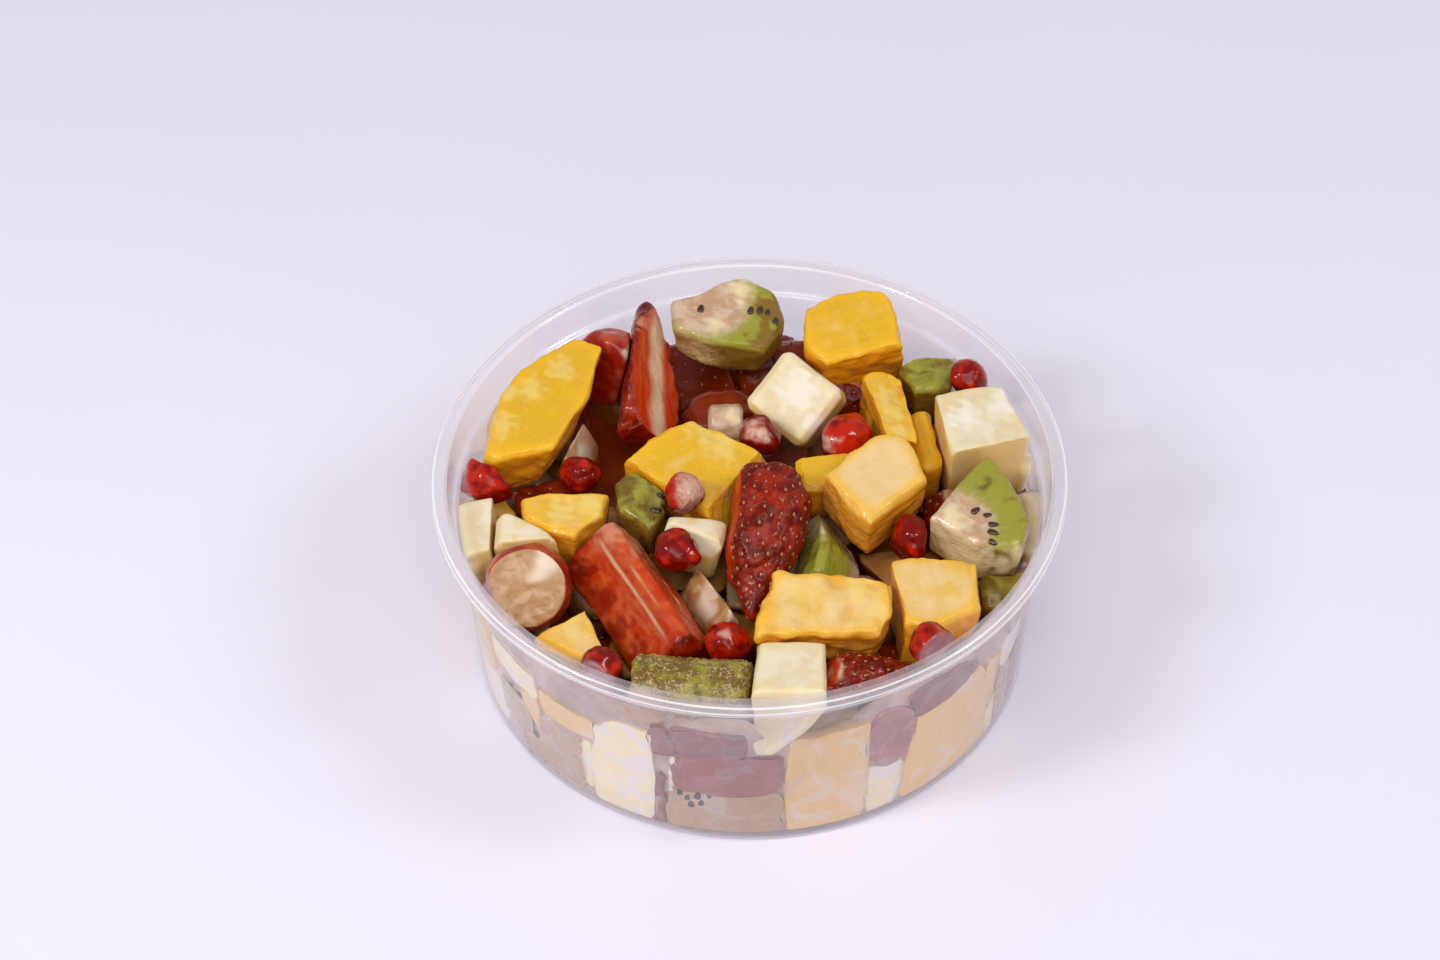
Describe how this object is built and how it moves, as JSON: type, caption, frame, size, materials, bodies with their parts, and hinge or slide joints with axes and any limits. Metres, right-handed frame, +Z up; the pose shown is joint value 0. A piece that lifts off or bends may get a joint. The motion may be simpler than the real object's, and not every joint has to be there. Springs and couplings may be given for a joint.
{
  "type": "fruit salad in a clear tub",
  "caption": "Cut fruit salad of mango, pear, kiwi, strawberry, grape and pomegranate seeds heaped in a round clear plastic tub.",
  "frame": {"origin": "middle of the tub's base, on the surface it stands on", "axes": "+Z up out of the tub, -Y towards the shown front, +X to the right seen from the front"},
  "size_m": [0.118, 0.118, 0.0462],
  "materials": {
    "clear_tub": "glossy, slightly milky moulded plastic",
    "packed_fruit": "moist packed fruit",
    "mango_flesh": "moist cut mango",
    "pear_flesh": "moist cut pear, satin",
    "kiwi_flesh": "moist cut kiwi fruit with black seeds",
    "strawberry_flesh": "wet red skin and cut flesh",
    "grape_flesh": "wet cut grape",
    "aril_skin": "glossy clear red seed coat"
  },
  "bodies": {
    "root": {"tub": "clear_tub", "heap": "packed_fruit", "mango_1": "mango_flesh", "mango_2": "mango_flesh", "kiwi_1": "kiwi_flesh", "strawberry_1": "strawberry_flesh", "grape_1": "grape_flesh", "pear_1": "pear_flesh", "aril_1": "aril_skin", "aril_2": "aril_skin", "mango_3": "mango_flesh", "strawberry_2": "strawberry_flesh", "aril_3": "aril_skin", "aril_4": "aril_skin", "mango_4": "mango_flesh", "pear_2": "pear_flesh", "kiwi_2": "kiwi_flesh", "kiwi_3": "kiwi_flesh", "mango_5": "mango_flesh", "mango_7": "mango_flesh", "pear_3": "pear_flesh", "kiwi_4": "kiwi_flesh", "mango_6": "mango_flesh", "kiwi_5": "kiwi_flesh", "aril_5": "aril_skin", "aril_6": "aril_skin", "aril_7": "aril_skin", "aril_8": "aril_skin", "mango_8": "mango_flesh", "mango_9": "mango_flesh", "pear_4": "pear_flesh", "kiwi_6": "kiwi_flesh", "strawberry_3": "strawberry_flesh", "aril_9": "aril_skin", "grape_2": "grape_flesh", "strawberry_4": "strawberry_flesh", "aril_10": "aril_skin", "mango_10": "mango_flesh", "grape_3": "grape_flesh", "aril_11": "aril_skin", "aril_12": "aril_skin", "mango_11": "mango_flesh", "pear_5": "pear_flesh", "pear_6": "pear_flesh", "grape_4": "grape_flesh", "grape_5": "grape_flesh", "kiwi_7": "kiwi_flesh", "strawberry_5": "strawberry_flesh", "strawberry_6": "strawberry_flesh", "kiwi_8": "kiwi_flesh", "grape_6": "grape_flesh", "strawberry_7": "strawberry_flesh", "kiwi_9": "kiwi_flesh", "pear_7": "pear_flesh", "mango_12": "mango_flesh", "mango_13": "mango_flesh", "strawberry_8": "strawberry_flesh", "kiwi_10": "kiwi_flesh", "mango_14": "mango_flesh", "pear_8": "pear_flesh"}
  },
  "joints": []
}
